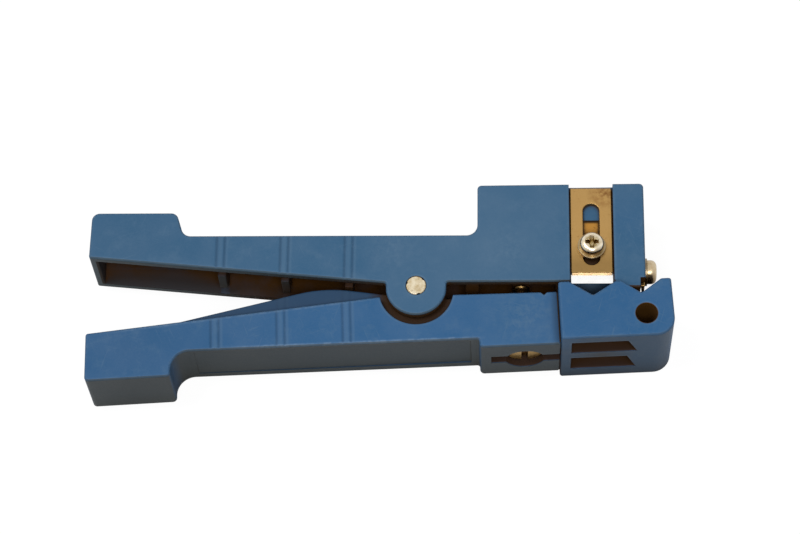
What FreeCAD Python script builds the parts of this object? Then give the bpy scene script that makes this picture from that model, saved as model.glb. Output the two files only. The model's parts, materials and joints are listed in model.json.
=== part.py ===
"""Cable stripping tool: two sprung nylon levers, a ring blade, a slitting blade and a V-grooved guide block.

The tool lies on its side. X runs along its length with the jaws at +X, Y runs from the lower
lever to the upper one, and Z is the thickness, along the pivot pin. The pieces are drawn with
the pivot axis at x = y = 0 and the lower lever along X. Pieces of the upper lever are drawn
level and then tilted to the closed position. Lengths are millimetres and angles are degrees.
"""
import FreeCAD, Part
import math
import os

Vector = FreeCAD.Vector
X_AXIS = Vector(1, 0, 0)
Y_AXIS = Vector(0, 1, 0)
Z_AXIS = Vector(0, 0, 1)

# Thickness of the tool, along Z
GUIDE_WIDTH = 22.2                 # guide block, the widest piece
LEVER_WIDTH = 15.9                 # both levers
MID_Z = GUIDE_WIDTH / 2
BACK_Z = MID_Z - LEVER_WIDTH / 2
FRONT_Z = MID_Z + LEVER_WIDTH / 2
EDGE_BREAK = 0.35                  # chamfer of the moulded outer edges
SMALL_ROUND = 0.6                  # corners of the moulded outlines
MEDIUM_ROUND = 1.0
TANGENT_GAP = 0.01                 # straight left between two arcs that would otherwise meet
ROOM = 1.0                         # how far a cutting solid stands out of what it cuts
BITE = 0.5                         # how far an added solid sinks into what carries it

# Lengths from the pivot axis
HANDLE_REACH = 75.7
JAW_REACH = 52.35
GUIDE_LEFT = 32.25
GUIDE_RIGHT = 58.0
CLOSED_TILT = -2.66                # upper lever against the lower one, jaws closed

# Both levers
WALL = 1.9
END_WALL = 2.0
HEEL_WALL = 2.4
CORE_ROUND = 1.0
RIB_WIDTH = 1.8
SINK_WIDTH = 0.8                   # shallow V lines beside each rib, on the outer faces
SINK_DEPTH = 0.1

# Upper lever
UPPER_END = 0.2 - HANDLE_REACH
UPPER_LEAN = 0.15
UPPER_EDGE_END = 7.2               # height of the channel's lower edge at the handle end
UPPER_EDGE_PIVOT = 0.72            # and beside the ear
FINGER_TOP = 18.65
FINGER_HEEL = -55.7
FINGER_SLOPE = 1.85
FINGER_ROUND = 1.8
FOOT_ROUND = 2.2
LEVER_TOP = 12.75
CHANNEL_ROOF = LEVER_TOP - 2.3
UPPER_RIBS = (-45.1, -30.4, -15.6)
RIB_SET_IN = 0.25                  # ribs end this far inside the channel's lower edge
RIB_SLOT_TOP = 6.3                 # height of the slots in the ribs that the lower webs enter
JAW_LEFT = 14.0
JAW_ROUND = 2.6                    # inner corner between lever and jaw
JAW_TOP = 25.85
JAW_RISE = 0.35                    # of the jaw's top from left to right
JAW_BOTTOM = 0.95
JAW_ROOF = 2.8
BULKHEAD = (JAW_LEFT - 2.7, JAW_LEFT + 0.3)

# Lower lever
LOWER_TOP_END = -8.3               # its straight upper edge, at the handle end and at the pivot
LOWER_TOP_PIVOT = -2.4
LOWER_RIBS = (-46.1, -31.1, -16.1)
LOWER_RIB_HEIGHT = 3.4
UNDERSIDE = -13.7
UNDERSIDE_FALL = 0.25              # of the underside from the handle block to the step
HANDLE_HEEL = -56.3
HEEL_ROUND = 4.4
HANDLE_BOTTOM = -19.7
HANDLE_FALL = 0.3                  # of the handle block's bottom towards its end
CHANNEL_FLOOR = UNDERSIDE + 2.4
PANEL = (-51.0, 11.9)              # bare sunk panel along the underside
PANEL_DEPTH = 0.35
STEP_X = 13.87
BASE_BOTTOM = -16.05               # stepped jaw base
BASE_TOP = -3.05
BASE_WALL = 2.3
NICK_X = 29.0                      # small V mark across the top of the jaw base
NICK_SIZE = 0.85

# Pivot
PIN_RADIUS = 2.38
PIN_PROUD = 0.1
PIN_BREAK = 0.25
GROOVE_RADIUS = 0.55
GROOVE_TURNS = (-75, 45, 165)
RUNNING_CLEARANCE = 0.05
EAR_RADIUS = 6.87
EAR_BOTTOM = -7.25
LUG_RADIUS = 6.0
NOTCH_RADIUS = 8.5
NOTCH_DROP = 1.2

# Inner webs of the lower lever, which carry the pin
WEB_GAP = 0.4                      # between an ear or wall of the upper lever and a lower web
WEB_THICKNESS = 2.1
WEB_LEFT = (-54.0, -5.5)
WEB_PEAK = (-21.2, 1.42)
WEB_PEAK_ROUND = 30.0
WEB_SADDLE = (-8.2, -0.85)
WEB_SADDLE_ROUND = 3.0
WEB_RIGHT = 9.0

# Torsion spring
WIRE_RADIUS = 0.6
WIRE_SIDES = 8
COIL_RADIUS = 3.6
COIL_PITCH = 1.35
COIL_TURNS = 3
LEG_LENGTH = 16.0
LEG_ANGLE = 25.0                   # of each leg against the length of the tool

# Blades, clamp plates and their screws
BLADE_WIDTH = 9.525
BLADE_HEIGHT = 15.875
BLADE_THICKNESS = 0.25
BLADE_BEVEL = 0.9
BLADE_SLOT = (4.1, 11.8)           # along the blade, from its cutting edge
BLADE_SLOT_WIDTH = 3.2
PLATE_HEIGHT = 21.55
PLATE_THICKNESS = 0.8
PLATE_SETBACK = 2.26               # lower end of the plate above the cutting edge
PLATE_SLOT = (2.0, 17.6)           # along the plate, from its lower end
PLATE_SLOT_WIDTH = 3.8
PLATE_CORNER = 0.3
PLATE_BREAK = 0.12
PLATE_SUNK = 1.0                   # face of the ring blade's plate below the lever's face
SEAT_WIDTH = 10.15                 # channel that the blade and the plate lie in
SEAT_GAP = 0.02
SCREW_RADIUS = 1.42
SCREW_LENGTH = 8.2
HEAD_RADIUS = 2.78
HEAD_HEIGHT = 2.2
HEAD_ROUND = 1.3
DRIVE_WIDTH = 1.0
DRIVE_REACH = 1.6
DRIVE_DEPTH = 1.3
DRIVE_CONE = 0.95
WASHER_RADIUS = 3.2
WASHER_THICKNESS = 0.8
INSERT_RADIUS = 2.2
INSERT_LENGTH = 5.9
BORE_CLEARANCE = 0.2
RING_X = 40.2
RING_EDGE_Y = 1.24
RING_SCREW_Y = 10.0
RING_FLOOR_Z = FRONT_Z - PLATE_SUNK - PLATE_THICKNESS - BLADE_THICKNESS - 2 * SEAT_GAP
SLIT_EDGE_Y = -1.2
SLIT_SCREW_Y = 6.75
SLIT_FLOOR_X = 51.15
POST_BOTTOM = -0.45
WINDOW_BOTTOM = 1.9                # jaw body behind the blades
CORE_END = RING_X - SEAT_WIDTH / 2 - 3.2

# Depth stop screw in the jaw base
DEPTH_X = 24.1
DEPTH_RADIUS = 2.08
DEPTH_HEAD_RADIUS = 4.1
DEPTH_HEAD_HEIGHT = 2.35
DEPTH_HEAD_RECESS = 1.5
DEPTH_SLOT_WIDTH = 1.5
DEPTH_SLOT_DEPTH = 1.1
DEPTH_TIP_Y = 1.95
DEPTH_TIP_BREAK = 0.6
COUNTERBORE_RADIUS = 4.45
COIN_SLOT = (16.4, -1.5, 2.0)      # start along X, and low and high beside the middle, of the slot for a coin
COIN_SLOT_DEPTH = 2.0
STOP_Y = 3.2
STOP_HALF = 1.8
DEPTH_INSERT_RADIUS = 3.2
DEPTH_INSERT_TOP = -4.2
BOSS_WALL = 1.8
BOSS_RISE = 0.8

# Guide block
GUIDE_BOTTOM = -16.2
LANDS = (-2.05, -2.45, -2.25)      # tops left of, between and right of the V grooves
RING_GROOVE = (40.0, -5.7)         # bottom of each V groove
RING_LIPS = (34.7, 45.2)
SLIT_GROOVE = (50.9, -5.63)
SLIT_LIPS = (46.6, 55.6)
GROOVE_ROUND = 0.7
LIP_ROUND = 0.8
GUIDE_TIP = 57.8
GUIDE_CORNER = 4.3
GUIDE_CHANNEL_FLOOR = -6.6
GUIDE_WALL = 2.9
GUIDE_END_WALL = 2.35
HANG_HOLE = (51.7, -10.8)
HANG_HOLE_RADIUS = 2.5
TONGUE = (46.5, -12.2, -8.4)       # end, bottom and top of the lever's tongue inside the block
TONGUE_GAP = 0.05
TONGUE_WIDTH = 11.0
POCKET_ROOF = -13.7
POCKET_X = (34.6, 49.55)
POCKET_SLANT = 2.2                 # how much shorter a pocket is along its front edge
POCKET_BANDS = ((4.5, 10.7), (13.5, 19.3))


def outline(corners):
    """Closed wire through corners (x, y, radius); a radius rounds that corner with a tangent arc."""
    points = [Vector(c[0], c[1], 0) for c in corners]
    radii = [c[2] if len(c) > 2 else 0 for c in corners]
    starts, middles, ends = [], [], []
    for i, point in enumerate(points):
        before = (points[i - 1] - point).normalize()
        after = (points[(i + 1) % len(points)] - point).normalize()
        if radii[i] == 0:
            starts.append(point)
            middles.append(None)
            ends.append(point)
            continue
        half = before.getAngle(after) / 2
        inward = (before + after).normalize()
        setback = radii[i] / math.tan(half)
        starts.append(point + before * setback)
        middles.append(point + inward * (radii[i] / math.sin(half) - radii[i]))
        ends.append(point + after * setback)
    edges = []
    for i in range(len(points)):
        if middles[i] is not None:
            edges.append(Part.Arc(starts[i], middles[i], ends[i]).toShape())
        following = starts[(i + 1) % len(points)]
        if ends[i].distanceToPoint(following) > 1e-6:
            edges.append(Part.LineSegment(ends[i], following).toShape())
    return Part.Wire(edges)


def prism(corners, low, high):
    """Solid between two heights along Z with a given outline."""
    face = Part.Face(outline(corners))
    face.translate(Vector(0, 0, low))
    return face.extrude(Vector(0, 0, high - low))


def block(x, y, z):
    """Box from three (low, high) pairs."""
    return Part.makeBox(x[1] - x[0], y[1] - y[0], z[1] - z[0], Vector(x[0], y[0], z[0]))


def rounded_slot(centre_x, y, width, low, high):
    """Solid with round ends along Y, for cutting a slot."""
    left = centre_x - width / 2
    right = centre_x + width / 2
    end = width / 2 - TANGENT_GAP
    return prism([(left, y[0], end), (right, y[0], end), (right, y[1], end), (left, y[1], end)], low, high)


def edges_at(solid, levels):
    """Edges that lie in one of the planes z = level."""
    chosen = []
    for edge in solid.Edges:
        heights = [vertex.Z for vertex in edge.Vertexes]
        if any(max(abs(h - level) for h in heights) < 1e-6 for level in levels):
            chosen.append(edge)
    return chosen


def broken(solid, width, levels):
    """The solid with a chamfer on its edges at some heights."""
    return solid.makeChamfer(width, edges_at(solid, levels))


def tilt(solid):
    """Bring a piece drawn level on the upper lever to the closed position."""
    solid.rotate(Vector(0, 0, 0), Z_AXIS, CLOSED_TILT)
    return solid


def upper_edge(x):
    """Height of the upper lever's lower edge between handle and ear."""
    share = (-x - EAR_RADIUS) / (-UPPER_END - EAR_RADIUS)
    return UPPER_EDGE_PIVOT + share * (UPPER_EDGE_END - UPPER_EDGE_PIVOT)


def sink_lines(ribs, low, high):
    """Shallow V lines that frame each rib's place on both outer faces."""
    half = SINK_WIDTH / 2
    cuts = []
    for rib in ribs:
        for centre in (rib - RIB_WIDTH / 2, rib + RIB_WIDTH / 2):
            for face, inward in ((FRONT_Z, -1), (BACK_Z, 1)):
                corners = ((centre - half, face), (centre, face + inward * SINK_DEPTH), (centre + half, face),
                           (centre, face - inward * ROOM))
                points = [Vector(x, low, z) for x, z in corners]
                wire = Part.makePolygon(points + points[:1])
                cuts.append(Part.Face(wire).extrude(Vector(0, high - low, 0)))
    return cuts


def web_bands():
    """Z ranges of the lower lever's two inner webs, back and front."""
    back = BACK_Z + WALL + WEB_GAP
    front = FRONT_Z - WALL - WEB_GAP
    return (back, back + WEB_THICKNESS), (front - WEB_THICKNESS, front)


def insert_seat(mouth, direction):
    """Cutters for a threaded insert and for the screw's end beyond it."""
    return [
        Part.makeCylinder(INSERT_RADIUS, INSERT_LENGTH + BITE, mouth, direction),
        Part.makeCylinder(SCREW_RADIUS + BORE_CLEARANCE, SCREW_LENGTH + BITE, mouth, direction),
    ]


def upper_lever():
    """Channel lever open towards the lower one, with two ears and the blade-carrying jaw."""
    seat = (RING_X - SEAT_WIDTH / 2, RING_X + SEAT_WIDTH / 2)
    body = prism([
        (UPPER_END, UPPER_EDGE_END, SMALL_ROUND),
        (UPPER_END + UPPER_LEAN, FINGER_TOP, FINGER_ROUND),
        (FINGER_HEEL, FINGER_TOP, FINGER_ROUND),
        (FINGER_HEEL + FINGER_SLOPE, LEVER_TOP, FOOT_ROUND),
        (JAW_LEFT, LEVER_TOP, JAW_ROUND),
        (JAW_LEFT, JAW_TOP - JAW_RISE, MEDIUM_ROUND),
        (JAW_REACH, JAW_TOP, MEDIUM_ROUND),
        (JAW_REACH, POST_BOTTOM, SMALL_ROUND),
        (seat[1], POST_BOTTOM, SMALL_ROUND),
        (seat[1], JAW_BOTTOM),
        (EAR_RADIUS, JAW_BOTTOM, SMALL_ROUND),
        (EAR_RADIUS, EAR_BOTTOM, EAR_RADIUS - TANGENT_GAP),
        (-EAR_RADIUS, EAR_BOTTOM, EAR_RADIUS - TANGENT_GAP),
        (-EAR_RADIUS, UPPER_EDGE_PIVOT, SMALL_ROUND),
    ], BACK_Z, FRONT_Z)
    body = broken(body, EDGE_BREAK, (BACK_Z, FRONT_Z))
    inside = (BACK_Z + WALL, FRONT_Z - WALL)
    below = EAR_BOTTOM - ROOM
    heel = FINGER_HEEL - HEEL_WALL
    channel = prism([
        (UPPER_END + END_WALL, below),
        (UPPER_END + END_WALL, FINGER_TOP - WALL, CORE_ROUND),
        (heel, FINGER_TOP - WALL, CORE_ROUND),
        (heel + FINGER_SLOPE, CHANNEL_ROOF, CORE_ROUND),
        (BULKHEAD[0], CHANNEL_ROOF, CORE_ROUND),
        (BULKHEAD[0], below),
    ], *inside)
    body = body.cut(channel)

    ribs = []
    for x in UPPER_RIBS:
        span = (x - RIB_WIDTH / 2, x + RIB_WIDTH / 2)
        height = (upper_edge(x) + RIB_SET_IN, CHANNEL_ROOF + BITE)
        rib = block(span, height, (inside[0] - BITE, inside[1] + BITE))
        for band in web_bands():
            slot = (band[0] - WEB_GAP, band[1] + WEB_GAP)
            rib = rib.cut(block((span[0] - ROOM, span[1] + ROOM), (0, RIB_SLOT_TOP), slot))
        ribs.append(rib)
    body = body.fuse(ribs)

    core_top = JAW_TOP - JAW_ROOF
    stop = (DEPTH_X - STOP_HALF, DEPTH_X + STOP_HALF)
    end_seat = (SLIT_FLOOR_X, JAW_REACH + ROOM)
    above = JAW_TOP + ROOM
    through = (BACK_Z - ROOM, FRONT_Z + ROOM)
    cuts = []
    for left, right in ((BULKHEAD[1], stop[0]), (stop[1], CORE_END)):
        cuts.append(prism([(left, below), (left, core_top, CORE_ROUND), (right, core_top, CORE_ROUND),
                           (right, below)], *inside))
    cuts += [
        block((stop[0] - BITE, stop[1] + BITE), (below, STOP_Y), inside),
        block(seat, (below, above), (RING_FLOOR_Z, FRONT_Z + ROOM)),
        block(seat, (below, WINDOW_BOTTOM), through),
        block(end_seat, (below, above), (MID_Z - SEAT_WIDTH / 2, MID_Z + SEAT_WIDTH / 2)),
        block(end_seat, (below, WINDOW_BOTTOM), through),
        Part.makeCylinder(PIN_RADIUS, LEVER_WIDTH + 2 * ROOM, Vector(0, 0, BACK_Z - ROOM), Z_AXIS),
    ]
    cuts += insert_seat(Vector(RING_X, RING_SCREW_Y, RING_FLOOR_Z), -Z_AXIS)
    cuts += insert_seat(Vector(SLIT_FLOOR_X, SLIT_SCREW_Y, MID_Z), -X_AXIS)
    cuts += sink_lines(UPPER_RIBS, 0, LEVER_TOP + ROOM)
    return body.cut(cuts)


def lower_lever():
    """Channel lever with inner webs at the pivot, a stepped jaw base and a tongue for the guide block."""
    base_right = GUIDE_LEFT - TONGUE_GAP
    body = prism([
        (UPPER_LEAN - HANDLE_REACH, LOWER_TOP_END, SMALL_ROUND),
        (-NOTCH_RADIUS, LOWER_TOP_PIVOT),
        (base_right, BASE_TOP, SMALL_ROUND),
        (base_right, BASE_BOTTOM, SMALL_ROUND),
        (STEP_X, BASE_BOTTOM, MEDIUM_ROUND),
        (STEP_X, UNDERSIDE - UNDERSIDE_FALL, SMALL_ROUND),
        (HANDLE_HEEL, UNDERSIDE, HEEL_ROUND),
        (HANDLE_HEEL, HANDLE_BOTTOM, MEDIUM_ROUND),
        (-HANDLE_REACH, HANDLE_BOTTOM - HANDLE_FALL, MEDIUM_ROUND),
    ], BACK_Z, FRONT_Z)
    body = broken(body, EDGE_BREAK, (BACK_Z, FRONT_Z))
    inside = (BACK_Z + WALL, FRONT_Z - WALL)
    back_web, front_web = web_bands()
    middle = (back_web[1], front_web[0])
    above = NOTCH_RADIUS
    core_floor = HANDLE_BOTTOM + HEEL_WALL
    core_left = END_WALL - HANDLE_REACH
    core_right = HANDLE_HEEL - HEEL_WALL
    ramp_end = WEB_LEFT[0]
    handle_core = prism([
        (core_left, above),
        (core_left, core_floor, CORE_ROUND),
        (core_right, core_floor, CORE_ROUND),
        (core_right, UNDERSIDE, CORE_ROUND),
        (ramp_end, CHANNEL_FLOOR, CORE_ROUND),
        (ramp_end + HEEL_WALL, CHANNEL_FLOOR),
        (ramp_end + HEEL_WALL, above),
    ], *inside)
    notch_centre = Vector(0, -NOTCH_DROP, BACK_Z - ROOM)
    body = body.cut([
        handle_core,
        block((ramp_end + CORE_ROUND, WEB_RIGHT), (CHANNEL_FLOOR, above), middle),
        block((WEB_RIGHT + HEEL_WALL, base_right - BASE_WALL), (CHANNEL_FLOOR, above), inside),
        Part.makeCylinder(NOTCH_RADIUS, LEVER_WIDTH + 2 * ROOM, notch_centre, Z_AXIS),
    ])

    additions = []
    root = CHANNEL_FLOOR - BITE
    for band in (back_web, front_web):
        additions.append(prism([
            (WEB_LEFT[0], root),
            WEB_LEFT,
            (*WEB_PEAK, WEB_PEAK_ROUND),
            (*WEB_SADDLE, WEB_SADDLE_ROUND),
            (WEB_RIGHT + BITE, BASE_TOP),
            (WEB_RIGHT + BITE, root),
        ], *band))
        additions.append(Part.makeCylinder(LUG_RADIUS, WEB_THICKNESS, Vector(0, 0, band[0]), Z_AXIS))
    for x in LOWER_RIBS:
        span = (x - RIB_WIDTH / 2, x + RIB_WIDTH / 2)
        height = (root, CHANNEL_FLOOR + LOWER_RIB_HEIGHT)
        additions.append(block(span, height, (middle[0] - BITE, middle[1] + BITE)))
    additions.append(Part.makeCylinder(DEPTH_INSERT_RADIUS + BOSS_WALL, DEPTH_INSERT_TOP + BOSS_RISE - root,
                                       Vector(DEPTH_X, root, MID_Z), Y_AXIS))
    tongue_end, tongue_bottom, tongue_top = TONGUE
    additions.append(block((base_right - BASE_WALL, tongue_end), (tongue_bottom, tongue_top),
                           (MID_Z - TONGUE_WIDTH / 2, MID_Z + TONGUE_WIDTH / 2)))
    body = body.fuse(additions)

    seat = DEPTH_HEAD_RECESS + DEPTH_HEAD_HEIGHT + RUNNING_CLEARANCE
    below_base = Vector(DEPTH_X, BASE_BOTTOM - ROOM, MID_Z)
    below_insert = Vector(DEPTH_X, BASE_BOTTOM + seat - BITE, MID_Z)
    coin_start, coin_low, coin_high = COIN_SLOT
    nick = [(NICK_X - NICK_SIZE, above), (NICK_X - NICK_SIZE, BASE_TOP), (NICK_X, BASE_TOP - NICK_SIZE),
            (NICK_X + NICK_SIZE, BASE_TOP), (NICK_X + NICK_SIZE, above)]
    cuts = [
        Part.makeCylinder(PIN_RADIUS + RUNNING_CLEARANCE, LEVER_WIDTH, Vector(0, 0, BACK_Z), Z_AXIS),
        Part.makeCylinder(COUNTERBORE_RADIUS, seat + ROOM, below_base, Y_AXIS),
        Part.makeCylinder(DEPTH_INSERT_RADIUS, -BASE_BOTTOM, below_insert, Y_AXIS),
        block((coin_start, GUIDE_LEFT), (BASE_BOTTOM - ROOM, BASE_BOTTOM + COIN_SLOT_DEPTH),
              (MID_Z + coin_low, MID_Z + coin_high)),
        block(PANEL, (UNDERSIDE - ROOM, UNDERSIDE - UNDERSIDE_FALL + PANEL_DEPTH),
              (BACK_Z + HEEL_WALL, FRONT_Z - CORE_ROUND)),
        prism(nick, BACK_Z - ROOM, FRONT_Z + ROOM),
    ]
    cuts += sink_lines(LOWER_RIBS, UNDERSIDE - ROOM, 0)
    return body.cut(cuts)


def guide_block():
    """Wide block with a V groove under each blade, open between its two side walls."""
    left_land, middle_land, right_land = LANDS
    body = prism([
        (GUIDE_LEFT, left_land, SMALL_ROUND),
        (RING_LIPS[0], left_land, LIP_ROUND),
        (*RING_GROOVE, GROOVE_ROUND),
        (RING_LIPS[1], middle_land, LIP_ROUND),
        (SLIT_LIPS[0], middle_land, LIP_ROUND),
        (*SLIT_GROOVE, GROOVE_ROUND),
        (SLIT_LIPS[1], right_land, LIP_ROUND),
        (GUIDE_TIP, right_land, SMALL_ROUND),
        (GUIDE_RIGHT, GUIDE_BOTTOM, GUIDE_CORNER),
        (GUIDE_LEFT, GUIDE_BOTTOM, SMALL_ROUND),
    ], 0, GUIDE_WIDTH)
    body = broken(body, EDGE_BREAK, (0, GUIDE_WIDTH))
    tongue_end, tongue_bottom, tongue_top = TONGUE
    half = TONGUE_WIDTH / 2 + TONGUE_GAP
    cuts = [
        block((GUIDE_LEFT + GUIDE_END_WALL, GUIDE_RIGHT - GUIDE_END_WALL), (GUIDE_CHANNEL_FLOOR, 0),
              (GUIDE_WALL, GUIDE_WIDTH - GUIDE_WALL)),
        block((GUIDE_LEFT - ROOM, tongue_end + TONGUE_GAP),
              (tongue_bottom - TONGUE_GAP, tongue_top + TONGUE_GAP), (MID_Z - half, MID_Z + half)),
        Part.makeCylinder(HANG_HOLE_RADIUS, GUIDE_WIDTH + 2 * ROOM, Vector(*HANG_HOLE, -ROOM), Z_AXIS),
    ]
    left, right = POCKET_X
    for low, high in POCKET_BANDS:
        corners = [(left, low), (right, low), (right - POCKET_SLANT, high), (left, high)]
        wire = Part.makePolygon([Vector(x, GUIDE_BOTTOM - ROOM, z) for x, z in corners + corners[:1]])
        cuts.append(Part.Face(wire).extrude(Vector(0, POCKET_ROOF - GUIDE_BOTTOM + ROOM, 0)))
    return body.cut(cuts)


def pivot_pin():
    """Grooved drive pin, pressed into the ears and turning in the lower webs."""
    low = BACK_Z - PIN_PROUD
    high = FRONT_Z + PIN_PROUD
    pin = Part.makeCylinder(PIN_RADIUS, high - low, Vector(0, 0, low), Z_AXIS)
    pin = broken(pin, PIN_BREAK, (low, high))
    for turn in GROOVE_TURNS:
        at = Vector(PIN_RADIUS + GROOVE_RADIUS / 3, 0, high - WALL)
        groove = Part.makeCylinder(GROOVE_RADIUS, WALL + ROOM, at, Z_AXIS)
        groove.rotate(Vector(0, 0, 0), Z_AXIS, turn)
        pin = pin.cut(groove)
    return pin


def torsion_spring():
    """Wire coil on the pin whose legs push the two handles apart; the round wire is drawn eight-sided."""
    turn = 360 * COIL_TURNS + 2 * (90 - LEG_ANGLE)
    height = COIL_PITCH * turn / 360
    lower_root = Vector(COIL_RADIUS, 0, 0)
    lower_end = lower_root - Y_AXIS * LEG_LENGTH
    last = math.radians(turn)
    upper_root = Vector(COIL_RADIUS * math.cos(last), COIL_RADIUS * math.sin(last), height)
    upper_end = upper_root + Vector(-math.sin(last), math.cos(last), 0) * LEG_LENGTH
    coil = Part.makeHelix(COIL_PITCH, height, COIL_RADIUS)
    path = Part.Wire([Part.LineSegment(lower_end, lower_root).toShape()] + coil.Edges
                     + [Part.LineSegment(upper_root, upper_end).toShape()])
    corners = []
    for side in range(WIRE_SIDES):
        around = 2 * math.pi * (side + 0.5) / WIRE_SIDES
        corners.append(lower_end + Vector(math.cos(around), 0, math.sin(around)) * WIRE_RADIUS)
    spring = path.makePipeShell([Part.makePolygon(corners + corners[:1])], True, True)
    spring.rotate(Vector(0, 0, 0), Z_AXIS, LEG_ANGLE - 90)
    spring.translate(Vector(0, 0, MID_Z - height / 2))
    return spring


def blade():
    """Razor blank drawn flat: cutting edge at y = 0, middle at x = 0, back face at z = 0."""
    half = BLADE_WIDTH / 2
    profile = Part.makePolygon([
        Vector(-half, 0, BLADE_THICKNESS / 2),
        Vector(-half, BLADE_BEVEL, 0),
        Vector(-half, BLADE_HEIGHT, 0),
        Vector(-half, BLADE_HEIGHT, BLADE_THICKNESS),
        Vector(-half, BLADE_BEVEL, BLADE_THICKNESS),
        Vector(-half, 0, BLADE_THICKNESS / 2),
    ])
    blank = Part.Face(profile).extrude(Vector(BLADE_WIDTH, 0, 0))
    return blank.cut(rounded_slot(0, BLADE_SLOT, BLADE_SLOT_WIDTH, -ROOM, ROOM))


def clamp_plate():
    """Slotted brass plate drawn flat: lower end at y = 0, middle at x = 0, back face at z = 0."""
    half = BLADE_WIDTH / 2
    corners = ((-half, 0), (half, 0), (half, PLATE_HEIGHT), (-half, PLATE_HEIGHT))
    plate = prism([(x, y, PLATE_CORNER) for x, y in corners], 0, PLATE_THICKNESS)
    plate = plate.cut(rounded_slot(0, PLATE_SLOT, PLATE_SLOT_WIDTH, -ROOM, PLATE_THICKNESS + ROOM))
    return broken(plate, PLATE_BREAK, (PLATE_THICKNESS,))


def washer():
    """Flat washer on z = 0."""
    ring = Part.makeCylinder(WASHER_RADIUS, WASHER_THICKNESS)
    return ring.cut(Part.makeCylinder(SCREW_RADIUS + BORE_CLEARANCE, WASHER_THICKNESS))


def pan_screw():
    """Cross-recessed pan head screw: head on z = 0 upwards, shank downwards."""
    head = Part.makeCylinder(HEAD_RADIUS, HEAD_HEIGHT)
    head = head.makeFillet(HEAD_ROUND, edges_at(head, (HEAD_HEIGHT,)))
    screw = head.fuse(Part.makeCylinder(SCREW_RADIUS, SCREW_LENGTH, Vector(0, 0, 0), -Z_AXIS))
    top = Vector(0, 0, HEAD_HEIGHT)
    recess = [Part.makeCone(DRIVE_CONE, 0, DRIVE_DEPTH, top, -Z_AXIS)]
    for turn in (0, 90):
        wing = Part.makeWedge(
            -DRIVE_REACH, 0, -DRIVE_WIDTH / 2, -DRIVE_WIDTH / 4, -DRIVE_REACH / 3,
            DRIVE_REACH, DRIVE_DEPTH, DRIVE_WIDTH / 2, DRIVE_WIDTH / 4, DRIVE_REACH / 3)
        wing.rotate(Vector(0, 0, 0), X_AXIS, -90)
        wing.translate(top)
        wing.rotate(Vector(0, 0, 0), Z_AXIS, turn)
        recess.append(wing)
    return screw.cut(recess)


def insert():
    """Threaded bush, mouth at z = 0 and body below."""
    body = Part.makeCylinder(INSERT_RADIUS, INSERT_LENGTH, Vector(0, 0, 0), -Z_AXIS)
    bore = Part.makeCylinder(SCREW_RADIUS + RUNNING_CLEARANCE, INSERT_LENGTH, Vector(0, 0, 0), -Z_AXIS)
    return body.cut(bore)


def blade_set(place, edge_y, screw_y, names):
    """A blade, its plate, washer, screw and insert; place puts a flat drawn piece on its seat."""
    plate_z = BLADE_THICKNESS + 2 * SEAT_GAP
    washer_z = plate_z + PLATE_THICKNESS + SEAT_GAP
    head_z = washer_z + WASHER_THICKNESS
    pieces = (
        ("blade", blade(), edge_y, SEAT_GAP),
        ("clamp_plate", clamp_plate(), edge_y + PLATE_SETBACK, plate_z),
        ("washer", washer(), screw_y, washer_z),
        ("screw", pan_screw(), screw_y, head_z),
        ("insert", insert(), screw_y, 0),
    )
    result = {}
    for name, solid, y, z in pieces:
        solid.translate(Vector(0, y, z))
        result[names + "_" + name] = tilt(place(solid))
    return result


def on_front_seat(solid):
    """Front face of the jaw: flat drawing's Z stays Z."""
    solid.translate(Vector(RING_X, 0, RING_FLOOR_Z))
    return solid


def on_end_seat(solid):
    """End face of the jaw: flat drawing's Z turns to X."""
    solid.rotate(Vector(0, 0, 0), Y_AXIS, 90)
    solid.translate(Vector(SLIT_FLOOR_X, 0, MID_Z))
    return solid


def depth_screw():
    """Slotted brass screw whose tip meets the stop rib in the upper jaw."""
    head_low = BASE_BOTTOM + DEPTH_HEAD_RECESS
    length = DEPTH_TIP_Y - head_low
    head = Part.makeCylinder(DEPTH_HEAD_RADIUS, DEPTH_HEAD_HEIGHT)
    head = broken(head, EDGE_BREAK, (0,))
    shank = broken(Part.makeCylinder(DEPTH_RADIUS, length), DEPTH_TIP_BREAK, (length,))
    half = DEPTH_SLOT_WIDTH / 2
    reach = DEPTH_HEAD_RADIUS + ROOM
    screw = head.fuse(shank).cut(block((-half, half), (-reach, reach), (-ROOM, DEPTH_SLOT_DEPTH)))
    screw.rotate(Vector(0, 0, 0), X_AXIS, -90)
    screw.translate(Vector(DEPTH_X, head_low, MID_Z))
    return screw


def depth_insert():
    """Threaded bush in the jaw base for the depth stop screw."""
    bottom = BASE_BOTTOM + DEPTH_HEAD_RECESS + DEPTH_HEAD_HEIGHT + 2 * RUNNING_CLEARANCE
    at = Vector(DEPTH_X, bottom, MID_Z)
    length = DEPTH_INSERT_TOP - bottom
    body = Part.makeCylinder(DEPTH_INSERT_RADIUS, length, at, Y_AXIS)
    return body.cut(Part.makeCylinder(DEPTH_RADIUS + RUNNING_CLEARANCE, length, at, Y_AXIS))


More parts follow.
